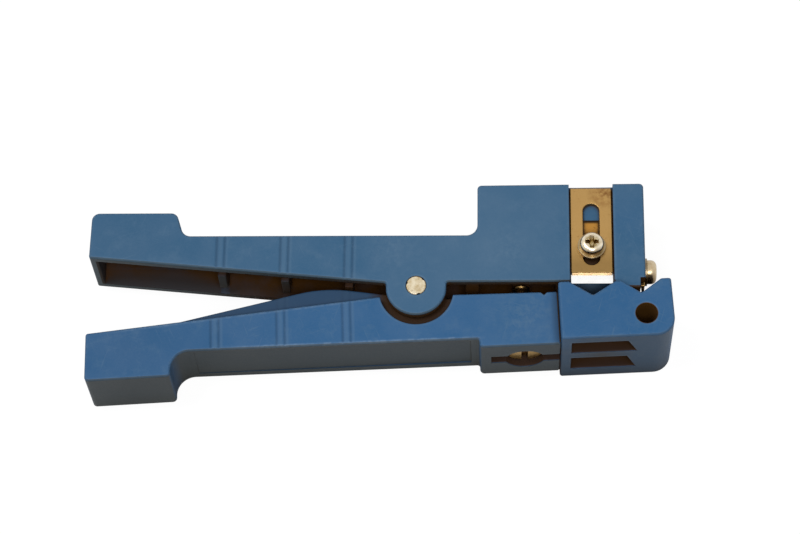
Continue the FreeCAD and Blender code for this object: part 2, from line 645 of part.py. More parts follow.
def main():
    nodes = {
        "upper_lever": tilt(upper_lever()),
        "lower_lever": lower_lever(),
        "guide_block": guide_block(),
        "pivot_pin": tilt(pivot_pin()),
        "torsion_spring": torsion_spring(),
        "depth_screw": depth_screw(),
        "depth_insert": depth_insert(),
    }
    nodes.update(blade_set(on_front_seat, RING_EDGE_Y, RING_SCREW_Y, "ring"))
    nodes.update(blade_set(on_end_seat, SLIT_EDGE_Y, SLIT_SCREW_Y, "slit"))

    # The origin is the middle of the tool's outline, on the plane that the guide block lies on.
    whole = Part.makeCompound(list(nodes.values())).optimalBoundingBox(False, False)
    shift = Vector(-whole.Center.x, -whole.Center.y, -whole.ZMin)
    os.makedirs("parts", exist_ok=True)
    for name, shape in nodes.items():
        shape.translate(shift)
        shape.exportStep("parts/" + name + ".step")
        print(name, shape.isValid(), len(shape.Solids), round(shape.Volume, 2))
    print("pivot at", round(shift.x, 4), round(shift.y, 4))
    print("size", whole.XLength, whole.YLength, whole.ZLength)


main()
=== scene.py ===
"""Looks of the cable stripping tool: moulded blue nylon, rolled brass, razor steel and plated screws.

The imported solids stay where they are. Places on the tool are millimetres from the pivot axis, with Z up
from the plane that the tool lies on, as in the part's source. mm() turns them into metres.
"""
import functools
import json
import math

import bmesh
import bpy
from mathutils import Matrix, Vector


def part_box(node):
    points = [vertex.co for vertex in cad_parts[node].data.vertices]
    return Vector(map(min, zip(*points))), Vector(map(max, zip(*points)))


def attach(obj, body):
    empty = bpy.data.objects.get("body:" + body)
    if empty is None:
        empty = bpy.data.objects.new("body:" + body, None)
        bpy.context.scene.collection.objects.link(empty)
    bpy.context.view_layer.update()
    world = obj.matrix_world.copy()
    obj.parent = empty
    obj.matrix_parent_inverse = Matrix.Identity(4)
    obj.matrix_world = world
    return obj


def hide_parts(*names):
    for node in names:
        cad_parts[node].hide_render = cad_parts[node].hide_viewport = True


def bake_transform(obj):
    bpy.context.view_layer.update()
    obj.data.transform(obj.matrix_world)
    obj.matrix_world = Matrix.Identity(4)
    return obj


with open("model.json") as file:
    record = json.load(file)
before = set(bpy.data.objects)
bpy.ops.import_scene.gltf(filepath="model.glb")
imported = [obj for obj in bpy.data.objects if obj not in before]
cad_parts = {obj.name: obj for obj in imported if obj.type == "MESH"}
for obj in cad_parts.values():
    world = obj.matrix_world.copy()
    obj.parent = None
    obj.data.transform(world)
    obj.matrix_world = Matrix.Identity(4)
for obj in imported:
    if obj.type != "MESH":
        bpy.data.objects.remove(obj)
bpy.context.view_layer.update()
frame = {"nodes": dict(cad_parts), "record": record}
NODES = frame["nodes"]
MM = 0.001
PIVOT = Vector(frame["record"]["behaviour"]["joints"][0]["pos_m"])
PIVOT.z = 0

# Camera, at the photograph's viewing angle, in millimetres and degrees
CAMERA_TARGET = (-3.49, 4.78, 19.05)
CAMERA_AZIMUTH = 2.315
CAMERA_ELEVATION = 65.1
CAMERA_ROLL = 4.683
CAMERA_DISTANCE = 610.1
CAMERA_LENS = 119.93
CAMERA_SENSOR = 36

# Soft boxes, in metres and watts, and the strength of the white surroundings
KEY_PLACE = (-0.55, 0.10, 1.45)
KEY_SIZE = (0.6, 0.4)
KEY_POWER = 10.2
FILL_PLACE = (0.05, -0.60, 1.15)
FILL_SIZE = (0.5, 0.4)
FILL_POWER = 7.0
WORLD_AS_LIGHT = 0.22
WORLD_AS_SEEN = 1.0

# Floor: half its length in metres, its own glow, and how far a painted shadow dims its reflection beside
# the tool
FLOOR_HALF = 1.5
FLOOR_GLOW = 0.94
FLOOR_DIM_REACH = 14.0

# Torsion spring, as in the part's source
WIRE_RADIUS = 0.6
WIRE_SIDES = 14
COIL_RADIUS = 3.6
COIL_PITCH = 1.35
COIL_TURNS = 3
COIL_MIDDLE = 11.1
LEG_LENGTH = 16.0
LEG_ANGLE = 25.0
STEPS_PER_TURN = 40

# Depth screw, as in the part's source, with the thread that the solid leaves out
SCREW_SIDES = 48
SCREW_RADIUS = 2.08
SCREW_HEAD_HEIGHT = 2.35
SCREW_HEAD_BREAK = 0.3
SCREW_TIP_BREAK = 0.6
SCREW_SLOT_WIDTH = 1.5
SCREW_SLOT_DEPTH = 1.1
SCREW_SHARP_ANGLE = 25
SCREW_WELD = 0.001
THREAD_PITCH = 0.7
THREAD_DEPTH = 0.36
# Corners of the thread's section, as shares of the pitch and of the depth
THREAD_PROFILE = ((0.0, 0.0), (0.12, 0.0), (0.50, 1.0), (0.62, 1.0))
# Ends of the depth screw's shank along Y; its tip shows in the gap between the jaws
SHANK_FOOT = -12.2
SHANK_TIP = 1.4

# Shallow sink lines that frame each rib's place on the levers' outer faces, as in the part's source
UPPER_RIBS = (-45.1, -30.4, -15.6)
LOWER_RIBS = (-46.1, -31.1, -16.1)
UPPER_TILT = -2.66
RIB_HALF = 0.9
LIT_BAND = 0.6

# Levers: middle of the thickness, front face, sunk faces, and the inside of the upper lever's channel
MIDDLE = 11.1
FRONT = 19.05
SUNK_BELOW = 17.6
CHANNEL_START = -73.7
CHANNEL_END = 32.0
CHANNEL_ROOF = 10.6
CHANNEL_HALF = 6.15

# Middles of scuffed, tinted and stained places, of places with painted light or shade, and of places left
# out of the painted shade
LEVER_NECK = (-5.0, 9.0, 19.0)
JAW_CORNER = (21.0, 8.0, 19.0)
# Painted sheen on the jaw
JAW_SHEEN = (16.0, 11.0, 19.0)
JAW_POST = (50.0, 14.0, 19.0)
# Painted shade towards the finger block, where the light falls off
FINGER_BLOCK = (-66.0, 14.0, 19.0)
# Painted light on the jaw's underside over the guide's groove, where little light reaches
OVER_GROOVE = (40.0, 0.0, 14.0)
# Left out of the painted shade under the jaw
UNDER_JAW = (40.0, -1.5, 14.0)
# Painted shade towards the handle block, where the light falls off
HANDLE_BLOCK = (-66.0, -13.0, 19.0)
BASE_FACE = (25.0, -9.0, 19.0)
# Painted sheen on the lower lever's base
BASE_MIDDLE = (24.0, -8.0, 19.0)
# Left out of the painted shade beside the guide block
GUIDE_SIDE = (32.0, -10.0, 20.0)
# Painted light in the guide block's groove, which is also left out of the painted shade
GUIDE_GROOVE = (40.0, -4.5, 15.0)
# Painted shade on the guide block's underside
GUIDE_UNDERSIDE = (41.5, -16.2, 11.6)
# Middle of the painted shade in the gap round the pivot
PIVOT_SHADE = (0.0, -1.2, SUNK_BELOW)
PLATE_CORNER = (44.2, 21.6, 18.0)
RING_SCREW_HEAD = (40.6, 8.1, 21.0)
SLIT_SCREW_HEAD = (55.4, 4.2, 11.1)

# Front lines on the lower lever: its two long edges, which get painted highlights, and the step up to the
# guide block, which gets painted shade
LOWER_EDGE = ((-44.0, -13.45), (16.0, -13.65))
UPPER_EDGE = ((-74.0, -8.55), (-8.5, -2.7))
GUIDE_STEP = ((31.9, 0.5), (31.9, -19.0))

# Holes darkened with painted shade: x and y of the axis, radius and lowest height
RING_SEAT = (40.6, 7.0, 3.6, 14.0)
GUIDE_HOLE = (51.7, -10.8, 2.55, 0.1)

# Pockets darkened with painted shade: two corners of a box
SCREW_POCKET = ((16.0, -15.95, 6.3), (32.2, -11.0, 15.9))
GUIDE_POCKETS = ((34.4, -16.1, 4.3), (49.8, -13.6, 19.5))

# Heights over which the blades turn from bright to painted shade under the washer, to brown, and to a
# painted shadow line at the top
BLADE_SHADED = (4.2, 4.8)
BLADE_BROWN = (8.0, 9.0)
BLADE_TOP = (16.2, 16.7)

# Detail of the materials: width of a sharp change, samples, depth of a corner that painted shade fills,
# scratches
SOFT_STEP = 0.1
CAVITY_SAMPLES = 12
BEVEL_SAMPLES = 6
DEEP_REACH = 16.0
SCRATCH_ANGLES = (22.0, 68.0, 110.0, 163.0)
SCRATCH_STRETCH = 14.0

# Colours, as linear red, green and blue
# The upper lever's nylon is greyer than the lower's, as painted sheen of the light from above
NYLON_UPPER = (0.035, 0.109, 0.208)
NYLON_LOWER = (0.024, 0.104, 0.242)
NYLON_CLOUD = 0.014
# Pale nylon for real rubbing, grain and scratches, and for painted sheen on the sink marks' bands and on
# broad patches
NYLON_RUBBED_AND_SHEEN = (0.100, 0.180, 0.275)
# Painted shade on nylon: in recesses, on sunk faces, beside the guide block's step, in sink lines and where
# the light falls off
NYLON_SHADE = (0.018, 0.044, 0.088)
# Pale nylon for worn edges that also stand in for edge highlights, and for painted light where little light
# reaches
NYLON_WORN_AND_LIT = (0.150, 0.235, 0.340)
# Painted highlight on the rounded front edges
NYLON_EDGE_HIGHLIGHT = (0.215, 0.310, 0.440)
# Painted shade in corners and deep places, browner where deepest, and on the guide block's underside
CORNER_SHADE = (0.038, 0.029, 0.023)
DEEP_SHADE = (0.070, 0.027, 0.003)
DEEP_SHADE_LOWER = (0.060, 0.037, 0.020)
# Painted shade in pockets
POCKET_SHADE = (0.044, 0.021, 0.009)
# Darker painted shade in the gap round the pivot and under the ring screw's washer
GAP_SHADE = (0.024, 0.010, 0.003)
# Painted shade on the undersides, a grey olive standing in for warm light from below
UNDERSIDE_SHADE = (0.056, 0.050, 0.016)
# Painted shade in the guide block's hole
HOLE_SHADE = (0.085, 0.036, 0.004)
BRASS = (0.398, 0.240, 0.085)
BRASS_DULL = (0.328, 0.197, 0.068)
# Painted shade on the clamp plates' lower part
BRASS_SHADE = (0.200, 0.122, 0.042)
# Brass of the depth screw and inserts, brighter than the plates' as painted highlight
BRASS_TURNED_LIT = (0.560, 0.360, 0.130)
BRASS_TURNED_DULL_LIT = (0.420, 0.260, 0.090)
# Brown stains on the plates and rust on the spring, and painted shade in thread roots
BRASS_STAIN_AND_SHADE = (0.20, 0.095, 0.030)
STEEL = (0.97, 0.97, 0.96)
STEEL_DULL = (0.84, 0.83, 0.81)
STEEL_STAIN = (0.46, 0.22, 0.045)
NICKEL = (0.84, 0.76, 0.60)
# Darker plating for the slit screw, as painted shade
NICKEL_SLIT_SHADED = (0.50, 0.385, 0.235)
NICKEL_DULL = (0.62, 0.52, 0.36)
# Brown specks, and stains with painted shade in and round the recesses
NICKEL_STAIN_AND_SHADE = (0.30, 0.21, 0.075)
NICKEL_SHADE = (0.17, 0.115, 0.060)
# Washers darker than the screws, as painted shade under the heads
WASHER_SHADED = (0.36, 0.29, 0.19)
WASHER_DULL_SHADED = (0.22, 0.16, 0.09)
PIN = (0.60, 0.53, 0.39)
PIN_DULL = (0.34, 0.26, 0.145)
PIN_SPECK = (0.17, 0.105, 0.05)
WIRE = (0.32, 0.31, 0.30)
WIRE_DULL = (0.20, 0.19, 0.18)
# Dirt in blotches on the blade, and painted shade in corners, slots, grooves and thread, along the shank
# and under the washer
METAL_DIRT_AND_SHADE = (0.030, 0.017, 0.009)
FLOOR_SEEN = (0.10, 0.10, 0.10)
FLOOR_BOUNCE = (0.34, 0.22, 0.13)
WHITE = (1.0, 1.0, 1.0)


def mm(x, y, z):
    """A place on the tool in metres of the shared frame."""
    return PIVOT + Vector((x, y, z)) * MM


def add_object(name, data):
    """New object in the scene."""
    added = bpy.data.objects.new(name, data)
    bpy.context.scene.collection.objects.link(added)
    return added


def add_camera():
    """Long lens looking down on the tool, rolled so that the tool's length lies as in the photograph."""
    data = bpy.data.cameras.new("camera")
    data.lens = CAMERA_LENS
    data.sensor_width = CAMERA_SENSOR
    camera = add_object("camera", data)
    azimuth = math.radians(CAMERA_AZIMUTH)
    elevation = math.radians(CAMERA_ELEVATION)
    away = Vector((
        math.sin(azimuth) * math.cos(elevation),
        -math.cos(azimuth) * math.cos(elevation),
        math.sin(elevation)))
    camera.location = mm(*CAMERA_TARGET) + away * CAMERA_DISTANCE * MM
    look = (-away).to_track_quat("-Z", "Y")
    roll = Matrix.Rotation(math.radians(-CAMERA_ROLL), 3, "Z")
    camera.rotation_euler = (look.to_matrix() @ roll).to_euler()
    bpy.context.scene.camera = camera


class Nodes:
    """Short calls for building one material's node tree. Lengths are millimetres.

    A share is a value from 0 to 1 that says how much of something shows at a point.
    """

    def __init__(self, name):
        self.material = bpy.data.materials.new(name)
        self.material.use_nodes = True
        self.tree = self.material.node_tree
        self.shader = self.tree.nodes["Principled BSDF"]
        self.coordinates = self.tree.nodes.new("ShaderNodeTexCoord")
        scale = self.tree.nodes.new("ShaderNodeVectorMath")
        scale.operation = "MULTIPLY_ADD"
        self.link(self.coordinates.outputs["Object"], scale.inputs[0])
        scale.inputs[1].default_value = (1 / MM, 1 / MM, 1 / MM)
        scale.inputs[2].default_value = -PIVOT / MM
        self.place = scale.outputs[0]

    def link(self, source, target):
        self.tree.links.new(source, target)

    def feed(self, socket, value):
        """Give a socket a number, a colour or another node's output."""
        if isinstance(value, bpy.types.NodeSocket):
            self.link(value, socket)
        elif hasattr(value, "__len__") and len(value) == 3 and socket.type == "RGBA":
            socket.default_value = (*value, 1)
        else:
            socket.default_value = value

    def set(self, **values):
        """Shader inputs by name, with underscores for spaces."""
        for name, value in values.items():
            self.feed(self.shader.inputs[name.replace("_", " ")], value)

    def metal(self, colour, share, smooth, rough):
        """Bare metal whose roughness goes from smooth to rough with a share."""
        self.set(Base_Color=colour, Metallic=1.0, Roughness=self.ramp(share, 0.0, 1.0, smooth, rough))

    def bump(self, height, depth, strength, normal=None):
        """Surface relief of a depth, on top of a normal."""
        node = self.tree.nodes.new("ShaderNodeBump")
        node.inputs["Strength"].default_value = strength
        node.inputs["Distance"].default_value = depth * MM
        self.link(height, node.inputs["Height"])
        if normal:
            self.link(normal, node.inputs["Normal"])
        self.link(node.outputs["Normal"], self.shader.inputs["Normal"])

    def math(self, operation, a, b=0.0):
        node = self.tree.nodes.new("ShaderNodeMath")
        node.operation = operation
        self.feed(node.inputs[0], a)
        self.feed(node.inputs[1], b)
        return node.outputs[0]

    def product(self, *values):
        """All values multiplied."""
        return functools.reduce(functools.partial(self.math, "MULTIPLY"), values)

    def largest(self, *values):
        """The largest of all values."""
        return functools.reduce(functools.partial(self.math, "MAXIMUM"), values)

    def smallest(self, *values):
        """The smallest of all values."""
        return functools.reduce(functools.partial(self.math, "MINIMUM"), values)

    def apart(self, a, b):
        """Distance between two values."""
        return self.math("ABSOLUTE", self.math("SUBTRACT", a, b))

    def ramp(self, value, low, high, start, end):
        """Map a value from low..high to start..end, clamped."""
        node = self.tree.nodes.new("ShaderNodeMapRange")
        self.feed(node.inputs["Value"], value)
        node.inputs["From Min"].default_value = low
        node.inputs["From Max"].default_value = high
        node.inputs["To Min"].default_value = start
        node.inputs["To Max"].default_value = end
        return node.outputs["Result"]

    def rise(self, value, low, high, most=1.0):
        """0 up to low, rising to most at high."""
        return self.ramp(value, low, high, 0.0, most)

    def fall(self, value, low, high, most=1.0):
        """Most up to low, falling to 0 at high."""
        return self.ramp(value, low, high, most, 0.0)

    def above(self, value, limit):
        """1 where a value is above a limit."""
        return self.rise(value, limit, limit + SOFT_STEP)

    def below(self, value, limit):
        """1 where a value is below a limit."""
        return self.fall(value, limit, limit + SOFT_STEP)

    def mix(self, share, a, b):
        """Colour a where share is 0 and colour b where it is 1."""
        node = self.tree.nodes.new("ShaderNodeMix")
        node.data_type = "RGBA"
        self.feed(node.inputs["Factor"], share)
        self.feed(node.inputs["A"], a)
        self.feed(node.inputs["B"], b)
        return node.outputs["Result"]

    def vector(self, operation, a, b):
        node = self.tree.nodes.new("ShaderNodeVectorMath")
        node.operation = operation
        self.feed(node.inputs[0], a)
        self.feed(node.inputs[1], b)
        return node.outputs["Value" if operation in ("DISTANCE", "DOT_PRODUCT") else "Vector"]

    def stretch(self, x, y, z):
        """Coordinates divided by a length along each axis."""
        return self.vector("MULTIPLY", self.place, (1 / x, 1 / y, 1 / z))

    def turned(self, angle, stretch):
        """Coordinates turned about Z by an angle in degrees and drawn out along the turned X."""
        turn = self.tree.nodes.new("ShaderNodeVectorRotate")
        turn.rotation_type = "Z_AXIS"
        turn.inputs["Angle"].default_value = math.radians(angle)
        self.link(self.place, turn.inputs["Vector"])
        return self.vector("MULTIPLY", turn.outputs["Vector"], (1 / stretch, 1, 1))

    def along(self, axis):
        """One coordinate, "X", "Y" or "Z"."""
        node = self.tree.nodes.new("ShaderNodeSeparateXYZ")
        self.link(self.place, node.inputs[0])
        return node.outputs[axis]

    def from_middle(self):
        """Distance from the middle of the levers' thickness."""
        return self.apart(self.along("Z"), MIDDLE)

    def lever_height(self):
        """Height above the pivot, square to the upper lever's length."""
        tilt = math.radians(UPPER_TILT)
        return self.vector("DOT_PRODUCT", self.place, (-math.sin(tilt), math.cos(tilt), 0))

    def from_lines(self, lines, tilt):
        """Distance along a tilted lever from the nearest of some lines across it."""
        turn = math.radians(tilt)
        along = self.vector("DOT_PRODUCT", self.place, (math.cos(turn), math.sin(turn), 0))
        return self.smallest(*(self.apart(along, line) for line in lines))

    def facing(self, direction):
        """1 where the surface faces a direction of the part at rest, falling to -1 where it faces away."""
        return self.vector("DOT_PRODUCT", self.coordinates.outputs["Normal"], direction)

    def on_sides(self):
        """1 on the faces square to the pivot axis."""
        return self.rise(self.math("ABSOLUTE", self.facing((0, 0, 1))), 0.7, 0.9)

    def near(self, place, radius):
        """1 at a place, falling to 0 at a radius round it."""
        return self.fall(self.vector("DISTANCE", self.place, place), 0.0, radius)

    def round_axis(self, x, y, radius, lowest):
        """1 within a radius of an upright axis and above a lowest height."""
        flat = self.vector("MULTIPLY", self.place, (1, 1, 0))
        distance = self.vector("DISTANCE", flat, (x, y, 0))
        return self.product(self.below(distance, radius), self.above(self.along("Z"), lowest))

    def in_box(self, low, high):
        """1 inside the box between two corners."""
        share = 1.0
        for axis, start, end in zip("XYZ", low, high):
            at = self.along(axis)
            share = self.product(self.above(at, start), self.below(at, end - SOFT_STEP), share)
        return share

    def in_channel(self):
        """1 on the walls and roof inside the upper lever's channel, and less on its ribs."""
        along = self.along("X")
        return self.product(
            self.below(self.from_middle(), CHANNEL_HALF),
            self.above(along, CHANNEL_START - SOFT_STEP),
            self.below(along, CHANNEL_END),
            self.below(self.lever_height(), CHANNEL_ROOF),
            self.ramp(self.from_lines(UPPER_RIBS, UPPER_TILT), RIB_HALF, RIB_HALF + 0.3, 0.7, 1.0),
            self.fall(self.facing((0, 1, 0)), 0.4, 0.6))

    def front_line(self, start, end, width):
        """1 on a line on the front face, falling to 0 at a width beside it and over its two ends."""
        ahead = Vector((end[0] - start[0], end[1] - start[1], 0))
        length = ahead.length
        ahead.normalize()
        from_start = self.vector("SUBTRACT", self.place, (*start, 0))
        beside = self.math("ABSOLUTE", self.vector("DOT_PRODUCT", from_start, (-ahead.y, ahead.x, 0)))
        past = self.vector("DOT_PRODUCT", from_start, ahead)
        return self.product(
            self.fall(beside, 0.3 * width, width),
            self.rise(past, 0.0, 0.15 * length),
            self.fall(past, 0.85 * length, length),
            self.rise(self.along("Z"), FRONT - 0.8, FRONT - 0.4))

    def noise(self, size, detail=2.0, roughness=0.5, at=None, distortion=0.0):
        """Noise with features of about one size."""
        node = self.tree.nodes.new("ShaderNodeTexNoise")
        self.link(at or self.place, node.inputs["Vector"])
        node.inputs["Scale"].default_value = 1 / size
        node.inputs["Detail"].default_value = detail
        node.inputs["Roughness"].default_value = roughness
        node.inputs["Distortion"].default_value = distortion
        return node.outputs["Fac"]

    def clouds(self, size, roughness=0.6):
        """Shares of soft dull patches."""
        return self.rise(self.noise(size, detail=4.0, roughness=roughness), 0.36, 0.66)

    def lines(self, x, y, z):
        """Shares of fine lines, with a length or a spacing along each axis."""
        streaks = self.noise(1.0, detail=3.0, roughness=0.6, at=self.stretch(x, y, z))
        return self.rise(streaks, 0.3, 0.7)

    def cavity(self, reach, own=True, inside=False):
        """0 in the open and 1 in a deep corner, as far as reach; own leaves other objects out.

        inside looks into the solid instead of away from it.
        """
        node = self.tree.nodes.new("ShaderNodeAmbientOcclusion")
        node.samples = CAVITY_SAMPLES
        node.inside = inside
        node.only_local = own
        node.inputs["Distance"].default_value = reach * MM
        return self.math("SUBTRACT", 1.0, node.outputs["AO"])

    def edge(self, reach):
        """0 on a flat and about 0.5 on an outer edge, as far as reach from it."""
        return self.cavity(reach, inside=True)

    def rounded(self, radius):
        """Normal of the surface with its edges rounded."""
        node = self.tree.nodes.new("ShaderNodeBevel")
        node.samples = BEVEL_SAMPLES
        node.inputs["Radius"].default_value = radius * MM
        return node.outputs["Normal"]


def sink_marks(n, ribs, tilt):
    """Shares of a dim line of painted shade on each side of a rib's place, and of paler bands of painted
    highlight between and beside them.
    """
    nearest = n.from_lines(ribs, tilt)
    from_lit = n.from_lines([rib + RIB_HALF + LIT_BAND for rib in ribs], tilt)
    dim = n.fall(n.apart(nearest, RIB_HALF), 0.0, 0.5, 0.46)
    pale = n.largest(n.fall(nearest, 0.1, 0.8, 0.28), n.fall(from_lit, 0.0, 0.45, 0.28))
    sides = n.on_sides()
    return n.product(sides, dim), n.product(sides, pale)


def moulded_colour(n, base, grain, tints, ribs, tilt):
    """Clouded nylon with tinted places, some of them painted light or shade, paler grain, and the painted
    shade and highlight of the sink marks over the ribs.
    """
    paler = [part + NYLON_CLOUD for part in base]
    colour = n.mix(n.rise(n.noise(9.0, detail=3.0), 0.35, 0.65), base, paler)
    # Some tints are painted light or shade
    for place, radius, share, tint in tints:
        colour = n.mix(n.product(n.near(place, radius), share), colour, tint)
    colour = n.mix(n.product(grain, 0.12), colour, NYLON_RUBBED_AND_SHEEN)
    if ribs:
        shade_line, highlight_band = sink_marks(n, ribs, tilt)
        colour = n.mix(highlight_band, colour, NYLON_RUBBED_AND_SHEEN)
        colour = n.mix(shade_line, colour, NYLON_SHADE)
    return colour


def rubbed_places(n, scuffs):
    """Shares of faint rubbing all over and of more rubbing at the scuffed places."""
    rubbed = n.rise(n.noise(4.0, detail=5.0, roughness=0.65), 0.52, 0.76, 0.30)
    for place, radius in scuffs:
        blotches = n.rise(n.noise(1.6, detail=4.0, roughness=0.7), 0.42, 0.66)
        rubbed = n.largest(rubbed, n.product(n.near(place, radius), blotches, 0.50))
    return rubbed


def scratch_lines(n):
    """Shares of fine scratches at a few angles, in patches."""
    lines = []
    for angle in SCRATCH_ANGLES:
        streaks = n.noise(0.5, at=n.turned(angle, SCRATCH_STRETCH), distortion=0.2)
        lines.append(n.rise(streaks, 0.66, 0.72))
    return n.product(n.largest(*lines), n.ramp(n.noise(12.0), 0.40, 0.62, 0.03, 0.28))


def edge_highlight_lines(n, colour, highlighted_edges):
    """Colour with broken pale lines of painted highlight along some of the front edges."""
    dashes = n.ramp(n.noise(1.3, detail=3.0, roughness=0.6), 0.40, 0.64, 0.18, 0.75)
    for (start, end), share in highlighted_edges:
        line = n.product(n.front_line(start, end, 0.55), share, dashes)
        colour = n.mix(line, colour, NYLON_EDGE_HIGHLIGHT)
    return colour


def worn_and_lit_edges(n, deep):
    """Shares of pale wear on the outer edges, in patches and only in the open, which also stand in for the
    edges' highlights as painted light.
    """
    patches = n.ramp(n.noise(2.5, detail=4.0, roughness=0.6), 0.30, 0.62, 0.15, 1.0)
    return n.product(n.rise(n.edge(0.7), 0.05, 0.22), patches, n.fall(deep, 0.10, 0.35, 0.25))


def sunk_faces(n, colour):
    """Colour with painted shade on the upward faces below the front, and darker painted shade in the gap
    round the pivot.
    """
    sunk = n.fall(n.along("Z"), SUNK_BELOW - 0.2, SUNK_BELOW)
    upward = n.rise(n.facing((0, 0, 1)), 0.7, 0.9)
    colour = n.mix(n.product(sunk, upward, 0.85), colour, NYLON_SHADE)
    pivot_gap_shade = n.product(sunk, n.near(PIVOT_SHADE, 14.0))
    return n.mix(n.rise(pivot_gap_shade, 0.2, 0.45), colour, GAP_SHADE)


def blue_nylon(name, base, underside_shade_share, tints=(), scuffs=(), ribs=(), tilt=0.0, highlighted_edges=(), shaded=None, unshaded=(),
               channel=False, deep_shade_colour=DEEP_SHADE, shaded_hole=None, sunk=False, recess=None):
    """Satin moulded nylon: faint clouding, fine grain, scratches, scuffed places and painted shade in
    corners.

    The undersides, which face -Y, get painted shade up to a given share. A tint is a place, a radius, a
    share and a colour, and some tints paint light or shade; a scuff, or an unshaded place, which gets no
    painted shade in recesses, corners or on the undersides, is a place and a radius. A highlighted edge, a
    painted highlight, is a front line and a share, and shaded, painted shade, is a front line, a width and
    a share. channel and sunk say whether the piece has such faces, which get painted shade; a shaded hole
    is a hole and the colour of its painted shade, and recess is a pocket that gets painted shade.
    """
    n = Nodes(name)
    grain = n.rise(n.noise(0.45, detail=3.0, roughness=0.65), 0.3, 0.7)
    scratches = scratch_lines(n)
    colour = moulded_colour(n, base, grain, tints, ribs, tilt)
    colour = n.mix(rubbed_places(n, scuffs), colour, NYLON_RUBBED_AND_SHEEN)
    colour = n.mix(scratches, colour, NYLON_RUBBED_AND_SHEEN)
    if highlighted_edges:
        colour = edge_highlight_lines(n, colour, highlighted_edges)
    if shaded:
        (start, end), width, share = shaded
        colour = n.mix(n.product(n.front_line(start, end, width), share), colour, NYLON_SHADE)

    deep = n.cavity(DEEP_REACH, own=False)
    worn = worn_and_lit_edges(n, deep)
    # Places listed as unshaded get no painted shade in recesses, on undersides or in corners, and the outer
    # faces get none on undersides or in corners
    outside = n.product(n.on_sides(), n.rise(n.from_middle(), 7.3, 7.6))
    shadable = [n.fall(n.near(place, radius), 0.2, 0.5) for place, radius in unshaded]
    kept = n.product(n.math("SUBTRACT", 1.0, outside), *shadable)
    # Pale edges: wear, and painted highlight
    colour = n.mix(worn, colour, NYLON_WORN_AND_LIT)
    # Painted shade in recesses and between parts
    colour = n.mix(n.product(n.rise(deep, 0.14, 0.50, 0.6), *shadable), colour, NYLON_SHADE)
    # Painted shade on the undersides, which face -Y
    colour = n.mix(n.product(kept, n.rise(n.facing((0, -1, 0)), 0.3, 0.8, underside_shade_share)), colour, UNDERSIDE_SHADE)
    # Painted shade in deep places and in the upper lever's channel, in patches
    patches = n.ramp(n.noise(6.0, detail=3.0), 0.25, 0.55, 0.8, 1.0)
    corner_shade = n.product(n.rise(deep, 0.46, 0.66), patches, kept)
    if channel:
        corner_shade = n.largest(corner_shade, n.product(n.in_channel(), 0.88))
    colour = n.mix(corner_shade, colour, n.mix(n.rise(deep, 0.50, 0.74), CORNER_SHADE, deep_shade_colour))
    # Painted shade in a hole
    if shaded_hole:
        hole, hole_shade = shaded_hole
        colour = n.mix(n.round_axis(*hole), colour, hole_shade)
    if sunk:
        colour = sunk_faces(n, colour)
    # Painted shade in a pocket
    if recess:
        colour = n.mix(n.product(n.in_box(*recess), 0.9), colour, POCKET_SHADE)

    satin = n.math("SUBTRACT", n.ramp(grain, 0.0, 1.0, 0.42, 0.52), n.product(worn, 0.15))
    n.set(Base_Color=colour, Roughness=n.largest(satin, corner_shade), Specular_IOR_Level=0.14)
    relief = n.math("SUBTRACT", grain, n.product(scratches, 2.0))
    n.bump(relief, depth=0.012, strength=0.6, normal=n.rounded(0.6))
    return n.material


def rolled_brass():
    """Clamp plates: lengthwise rolling lines, dull clouds, brown stains, and painted shade on the lower
    part and in the corners.
    """
    n = Nodes("rolled_brass")
    lines = n.lines(0.16, 9.0, 0.16)
    cloud = n.clouds(2.6)
    colour = n.mix(cloud, BRASS, BRASS_DULL)
    colour = n.mix(n.product(lines, 0.35), colour, BRASS_DULL)
    # Painted shade, darker towards the lower end
    colour = n.mix(n.fall(n.along("Y"), 4.0, 9.0, 0.7), colour, BRASS_SHADE)
    blotches = n.rise(n.noise(1.5, detail=4.0, roughness=0.65), 0.40, 0.60)
    corner = n.product(n.near(PLATE_CORNER, 4.2), 1.2, blotches)
    specks = n.rise(n.noise(0.8, detail=4.0, roughness=0.7), 0.62, 0.74, 0.7)
    colour = n.mix(n.largest(corner, specks), colour, BRASS_STAIN_AND_SHADE)
    # Painted shade in the corners
    colour = n.mix(n.rise(n.cavity(1.2, own=False), 0.50, 0.95), colour, METAL_DIRT_AND_SHADE)
    n.metal(colour, cloud, 0.34, 0.48)
    n.bump(lines, depth=0.006, strength=0.5, normal=n.rounded(0.15))
    return n.material


def turned_brass():
    """Depth screw and inserts: clouded brass, brighter than the plates' as painted highlight, with painted
    shade in the slot, in the thread roots and along the shank.
    """
    n = Nodes("turned_brass")
    cloud = n.clouds(1.4)
    colour = n.mix(cloud, BRASS_TURNED_LIT, BRASS_TURNED_DULL_LIT)
    # Painted shade in the slot
    colour = n.mix(n.rise(n.cavity(2.0, own=False), 0.45, 0.95), colour, METAL_DIRT_AND_SHADE)
    # Painted shade in the thread roots
    colour = n.mix(n.rise(n.cavity(0.4), 0.25, 0.60, 0.7), colour, BRASS_STAIN_AND_SHADE)
    height = n.along("Y")
    past_foot = n.rise(height, SHANK_FOOT, SHANK_FOOT + 0.3)
    short_of_tip = n.ramp(height, SHANK_TIP - 0.4, SHANK_TIP, 1.0, 0.3)
    # Painted shade along the shank, lighter at the tip
    colour = n.mix(n.product(past_foot, short_of_tip, 0.7), colour, METAL_DIRT_AND_SHADE)
    n.metal(colour, cloud, 0.24, 0.38)
    n.bump(n.lines(6.0, 0.12, 6.0), depth=0.006, strength=0.5)
    return n.material


